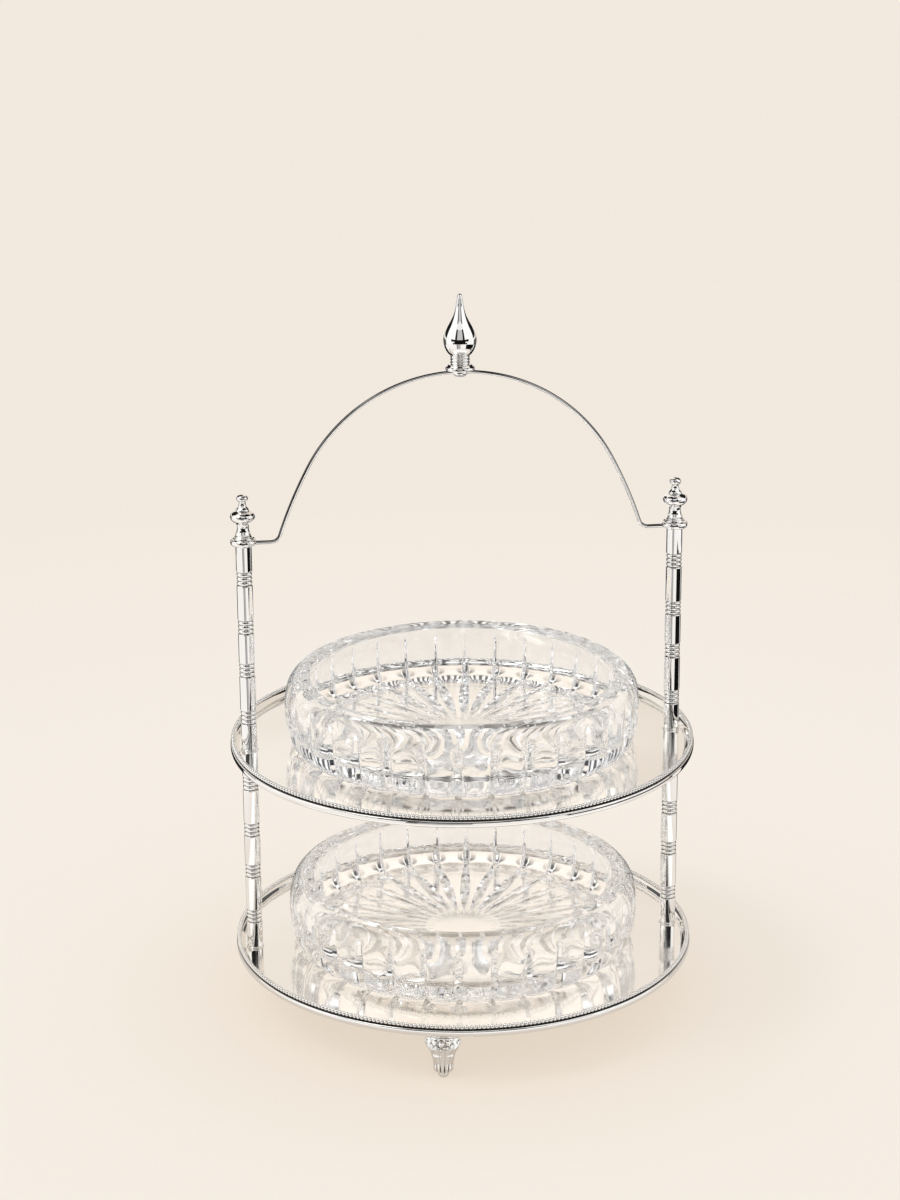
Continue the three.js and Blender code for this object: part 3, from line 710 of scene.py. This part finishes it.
def bowl_mesh():
    """Vertices and faces of a bowl, and a share of one where the star's cuts are finely ground."""
    rows = bowl_rows()
    ring = rows[1:-1]
    r, z, w, depth, swell = (np.array([q[i] for q in ring]) for i in range(5))
    dr, dz = np.gradient(r), np.gradient(z)
    size = np.hypot(dr, dz)
    inward = np.stack([-dz / size, dr / size], axis=1)
    inner, outer = 3, 11  # columns from a cut's bottom to its edge, and on to the middle of the next panel
    pitch = 2 * math.pi / CUTS
    half = pitch / 2
    least = np.minimum(0.9, r * half * 0.35)
    span = np.minimum(np.maximum(w, least), r * half * 0.85) / r
    offsets, shares, shoulders = [], [], []
    for k in range(-inner - outer + 1, inner + outer + 1):
        sign, m = (1 if k >= 0 else -1), abs(k)
        u = max(0, m - inner) / outer
        if m <= inner:
            offsets.append(sign * span * (m / inner))
        else:
            offsets.append(sign * (span + (half - span) * u ** 1.15))
        shares.append(max(0.0, 1 - m / inner))
        shoulders.append((1 - u) ** 2.2)
    offsets, shares, shoulders = (np.array(q) for q in (offsets, shares, shoulders))
    sink = depth[:, None] * shares + swell[:, None] * shoulders
    rr = r[:, None] + sink * inward[:, 0:1]
    zz = z[:, None] + sink * inward[:, 1:2]
    panels = []
    for c in range(CUTS):
        angle = (c + TURN) * pitch + offsets.T
        panels.append(np.stack([rr * np.sin(angle), -rr * np.cos(angle), zz], axis=2))
    star = (r >= STAR[0]) & (r <= STAR[1]) & (z <= UNDER)
    ground = np.tile(star[:, None] * np.clip(shares * 4, 0, 1), CUTS)
    v = np.concatenate(panels, axis=1).reshape(-1, 3)
    columns = CUTS * len(shares)
    f = grid_faces(len(ring), columns) + end_fans(len(v), (len(ring) - 1) * columns, columns)
    v = np.vstack([v, [[0, 0, rows[0][1]], [0, 0, rows[-1][1]]]])
    return v, f, np.append(ground.reshape(-1), [0, 0])


def make_bowls():
    """A loose bowl on each plate."""
    v, f, ground = bowl_mesh()
    for level, z in FLOORS.items():
        piece = add_mesh(f"{level}_cut_bowl", (v + [0, 0, z]) * MM, f, CRYSTAL,
                         body=f"{level}_bowl_body", sharp=28, painted_dark_and_grinding=ground)
        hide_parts(f"{level}_bowl")


# ---- stage, light and camera

CREAM = (0.887, 0.815, 0.735)
PLAIN = (0.9, 0.9, 0.9)
CAMERA_AZIMUTH = -97.15
FLOOR_REACH = 14.0
FLOOR_GLOW = 0.62  # the share of the floor's look that is its own glow
LAID = 0.002  # the height of a card that lies on the floor
DARK = 0.006


def put_on_stage(name, verts, faces, mat):
    """A piece of the stage, which is no part of the stand."""
    mesh = bpy.data.meshes.new(name)
    mesh.from_pydata(verts, [], faces)
    mesh.materials.append(mat)
    obj = bpy.data.objects.new(name, mesh)
    bpy.context.scene.collection.objects.link(obj)
    return obj


def show_mix(nodes, links, factor, first, second):
    """Gives a material's output a mix of two shaders."""
    mix = nodes.new("ShaderNodeMixShader")
    links.new(factor, mix.inputs["Fac"])
    links.new(first.outputs[0], mix.inputs[1])
    links.new(second.outputs[0], mix.inputs[2])
    links.new(mix.outputs[0], nodes["Material Output"].inputs[0])


def make_floor():
    """A table that glows in part, with one tone for the camera and glass and another for polished metal. The glow
    paints a warm pool of light around the stand, and polished metal sees a painted shadow under the stand and a whiter
    floor further out.
    """
    mat, nodes, links, shader = material("studio_floor")
    shader.inputs["Roughness"].default_value = 0.95
    shader.inputs["Specular IOR Level"].default_value = 0.0
    place = object_place(nodes)
    path = nodes.new("ShaderNodeLightPath")
    metal = maths(nodes, links, "SUBTRACT", path.outputs["Is Glossy Ray"], path.outputs["Is Transmission Ray"])
    metal.node.use_clamp = True
    grain = ramp(nodes, links, noise(nodes, links, place, 3, 2),
                 [(0.3, (0.86, 0.81, 0.755)), (0.7, (0.865, 0.815, 0.76))])
    # painted light: polished metal sees the floor's base colour whiter than the camera does
    links.new(blend(nodes, links, metal, grain, (0.96, 0.94, 0.915)), shader.inputs["Base Color"])
    reach = nodes.new("ShaderNodeVectorMath")
    reach.operation = "LENGTH"
    links.new(place, reach.inputs[0])
    # painted light: the glow is brighter and warmer near the stand, a pool that lifts and warms its shadow
    shown = ramp(nodes, links, reach.outputs["Value"], [
        (0.1, (1.0, 0.87, 0.722)), (0.14, (0.96, 0.855, 0.73)), (0.22, (0.97, 0.89, 0.79)),
        (0.5, (0.95, 0.875, 0.785)), (1.0, (0.902, 0.815, 0.718))])
    # painted shadow near the stand and a painted whiter floor further out, as polished metal sees the glow
    painted_light_and_shadow_in_metal = ramp(nodes, links, reach.outputs["Value"], [
        (0.15, (0.6, 0.52, 0.44)), (0.24, (0.86, 0.77, 0.69)), (0.3, (0.84, 0.74, 0.66)), (0.5, (0.97, 0.955, 0.94))])
    glow = nodes.new("ShaderNodeEmission")
    links.new(blend(nodes, links, metal, shown, painted_light_and_shadow_in_metal), glow.inputs["Color"])
    share = maths(nodes, links, "MULTIPLY_ADD", path.outputs["Is Diffuse Ray"], -FLOOR_GLOW, FLOOR_GLOW)
    show_mix(nodes, links, share, shader, glow)
    e = FLOOR_REACH
    put_on_stage("studio_floor", [(-e, -e, 0), (e, -e, 0), (e, e, 0), (-e, e, 0)], [(0, 1, 2, 3)], mat)


def make_card(name, start, end, near, far, low, high, value, streaks=0.0, middle=(0, 0)):
    """A curved card that only shows in polished metal, between two bearings, radii and heights."""
    count = max(2, int(abs(end - start) / 4))
    verts = []
    for bearing in np.linspace(start, end, count):
        a = math.radians(CAMERA_AZIMUTH + bearing)
        verts += [(middle[0] + radius * math.cos(a), middle[1] + radius * math.sin(a), z)
                  for radius, z in ((near, low), (far, high))]
    faces = [(2 * i, 2 * i + 2, 2 * i + 3, 2 * i + 1) for i in range(count - 1)]
    mat, nodes, links, shader = material(name)
    nodes.remove(shader)
    drawn_out = nodes.new("ShaderNodeMapping")
    drawn_out.inputs["Scale"].default_value = (7, 7, 0.15)
    links.new(object_place(nodes), drawn_out.inputs["Vector"])
    tone = ramp(nodes, links, noise(nodes, links, drawn_out.outputs[0], 2, 3),
                [(0.42, value * (1 - streaks)), (0.56, value)])
    glow = nodes.new("ShaderNodeEmission")
    links.new(tone, glow.inputs["Color"])
    path = nodes.new("ShaderNodeLightPath")
    show_mix(nodes, links, path.outputs["Transmission Depth"], glow, nodes.new("ShaderNodeBsdfTransparent"))
    obj = put_on_stage(name, verts, faces, mat)
    for rays in ("camera", "diffuse", "transmission", "shadow", "volume_scatter"):
        setattr(obj, f"visible_{rays}", False)


def make_cards():
    """The dark room, the soft boxes and the gaps between them, as the metal mirrors them."""
    # name, bearings, near and far radius, low and high edge, value and streaks
    for card in (
        ("front_dark", -38, 38, 1.0, 1.0, 0.1, 0.3, DARK),
        ("front_high_dark", -62, 62, 1.0, 1.0, 0.3, 0.52, DARK),
        ("front_far_dark", -50, 50, 1.01, 1.7, LAID, LAID, DARK),
        ("front_grey", -20, 20, 1.02, 1.02, 0.52, 1.3, 0.6, 0.1),
        ("front_low", -75, 75, 0.19, 0.3, LAID, LAID, 1.1),
        ("front_streak", -19, 4, 0.42, 0.99, LAID, LAID, 0.5, 0.3),
        ("front_line", -24, -19, 0.42, 0.99, LAID, LAID, 0.1),
        ("ceiling", -180, 180, 0.001, 0.2, 0.6, 0.6, DARK),
    ):
        make_card(*card)
    for hand, side in SIDES.items():
        for part, start, end, *rest in (
            ("gap_dark", 20, 34, 1.02, 1.02, 0.52, 1.35, 0.015),
            ("softbox", 34, 104, 0.98, 0.98, 0.52, 1.35, 1.1, 0.12),
            ("low_softbox", 62, 104, 0.98, 0.98, 0.0, 0.52, 1.1, 0.2),
            ("edge_dark", 110, 163, 0.95, 0.95, 0.0, 0.3, 0.1),
            ("high_edge_dark", 104, 163, 0.45, 0.45, 0.38, 0.75, 0.012),
            ("floor_edge_dark", 122, 163, 0.14, 0.94, LAID, LAID, 0.012),
        ):
            make_card(f"{hand}_{part}", *sorted((side * start, side * end)), *rest)
    make_card("right_low_dark", 45, 112, 0.42, 0.92, LAID, LAID, DARK)
    a = math.radians(FRONT_FOOT)
    foot = (FOOT_CIRCLE * MM * math.cos(a), FOOT_CIRCLE * MM * math.sin(a))
    make_card("foot_left", -95, -30, 0.016, 0.016, 0.001, 0.024, 1.15, 0.1, middle=foot)
    make_card("foot_right", 30, 95, 0.016, 0.016, 0.001, 0.024, 1.15, 0.1, middle=foot)


def from_to(nodes, links, source, low, high):
    """A value's place between two others, as a share."""
    node = nodes.new("ShaderNodeMapRange")
    node.inputs["From Min"].default_value = low
    node.inputs["From Max"].default_value = high
    links.new(source, node.inputs["Value"])
    return node.outputs[0]


def along(nodes, links, direction, azimuth):
    """How far a direction points along a level one, from 0 for the opposite way to 1."""
    dot = nodes.new("ShaderNodeVectorMath")
    dot.operation = "DOT_PRODUCT"
    a = math.radians(azimuth)
    dot.inputs[1].default_value = (math.cos(a), math.sin(a), 0)
    links.new(direction, dot.inputs[0])
    return from_to(nodes, links, dot.outputs["Value"], -1, 1)


def stripes(*spans):
    """Stops of a ramp that is one inside each span and nought between them."""
    stops = []
    for low, high in spans:
        stops += [(low - 0.003, 0.0), (low, 1.0), (high, 1.0), (high + 0.003, 0.0)]
    return stops


def make_world():
    """Cream for the camera, a room for the metal, and a striped haze for the rays that come out of the glass."""
    world = bpy.data.worlds.new("studio")
    bpy.context.scene.world = world
    world.use_nodes = True
    nodes, links = world.node_tree.nodes, world.node_tree.links
    nodes.clear()
    out = nodes.new("ShaderNodeOutputWorld")
    shown = nodes.new("ShaderNodeBackground")
    links.new(shown.outputs[0], out.inputs[0])
    direction = nodes.new("ShaderNodeTexCoord").outputs["Generated"]
    split = nodes.new("ShaderNodeSeparateXYZ")
    links.new(direction, split.inputs[0])
    path = nodes.new("ShaderNodeLightPath")
    across = along(nodes, links, direction, CAMERA_AZIMUTH + 90)
    away = along(nodes, links, direction, CAMERA_AZIMUTH + 180)
    up = from_to(nodes, links, split.outputs["Z"], 0, 1)

    back = ramp(nodes, links, across, [(0.42, (0.95, 0.90, 0.84)), (0.52, CREAM), (0.58, (0.80, 0.73, 0.65))])
    near_back = ramp(nodes, links, away, [(0.5, 0.0), (0.6, 1.0)])
    room = blend(nodes, links, near_back, (0.88, 0.88, 0.88), back)

    pale, grey = (0.98, 0.98, 0.98), (0.3, 0.3, 0.31)
    haze = ramp(nodes, links, up, [(0.0, (1.0, 0.99, 0.98)), (0.42, pale), (0.43, grey), (0.49, grey), (0.5, pale),
                                   (0.75, pale), (0.9, (0.5, 0.5, 0.51))])
    bands = ramp(nodes, links, across, stripes((0.09, 0.13), (0.19, 0.24), (0.29, 0.34), (0.4, 0.46), (0.54, 0.6),
                                               (0.66, 0.71), (0.76, 0.81), (0.87, 0.91)))
    haze = blend(nodes, links, bands, haze, (0.03, 0.03, 0.035))
    rear = ramp(nodes, links, away, [(0.86, 0.0), (0.94, 1.0)])
    glass = blend(nodes, links, rear, haze, CREAM)

    passed = maths(nodes, links, "MINIMUM", path.outputs["Transmission Depth"], 1.0)
    thrown = maths(nodes, links, "MINIMUM", path.outputs["Glossy Depth"], 0.25)
    links.new(maths(nodes, links, "MULTIPLY_ADD", thrown, passed, 1.0), shown.inputs["Strength"])
    colour = blend(nodes, links, path.outputs["Is Glossy Ray"], PLAIN, room)
    for rays, seen in ((passed, glass), (path.outputs["Is Transmission Ray"], glass),
                       (path.outputs["Is Diffuse Ray"], PLAIN), (path.outputs["Is Camera Ray"], CREAM)):
        colour = blend(nodes, links, rays, colour, seen)
    links.new(colour, shown.inputs["Color"])


def make_light():
    """A broad, weak sun from above and the left."""
    sun = bpy.data.lights.new("key", "SUN")
    sun.energy = 0.42
    sun.angle = math.radians(24)
    key = bpy.data.objects.new("key", sun)
    key.rotation_mode = "QUATERNION"
    key.rotation_quaternion = Vector((0.55, 0.18, -0.82)).to_track_quat("-Z", "Y")
    bpy.context.scene.collection.objects.link(key)


def make_camera():
    """The camera that was solved from the measured edges of the trays, posts, handle and bowls."""
    turn, rise, roll = (math.radians(v) for v in (-7.152, 17.717, -0.381))
    aside, height, distance = -6.025, 224.04, 1500.0
    focal, photo_height, sensor = 2813.37, 1200, 36  # the first two in pixels
    back = Vector((math.sin(turn) * math.cos(rise), -math.cos(turn) * math.cos(rise), math.sin(rise)))
    target = Vector((aside * math.cos(turn), aside * math.sin(turn), height)) * MM
    right = (-back).cross(Vector((0, 0, 1))).normalized()
    up = right.cross(-back)
    x = right * math.cos(roll) + up * math.sin(roll)
    y = -right * math.sin(roll) + up * math.cos(roll)
    place = target + back * distance * MM
    data = bpy.data.cameras.new("camera")
    data.sensor_width = sensor
    data.lens = focal / photo_height * sensor
    obj = bpy.data.objects.new("camera", data)
    obj.matrix_world = Matrix((
        (x.x, y.x, back.x, place.x),
        (x.y, y.y, back.y, place.y),
        (x.z, y.z, back.z, place.z),
        (0, 0, 0, 1),
    ))
    bpy.context.scene.collection.objects.link(obj)
    bpy.context.scene.camera = obj


for tier in FLOORS:
    make_tray(tier)
    make_posts(tier)
make_fasteners()
make_handle()
make_finials()
make_crown()
make_feet()
make_bowls()
make_floor()
make_world()
make_light()
make_cards()
make_camera()

BOUNCES = 32  # so that light gets through the thick glass
scene = bpy.context.scene
scene.view_settings.view_transform = "Standard"
scene.cycles.max_bounces = BOUNCES
scene.cycles.transmission_bounces = BOUNCES
scene.cycles.glossy_bounces = 24
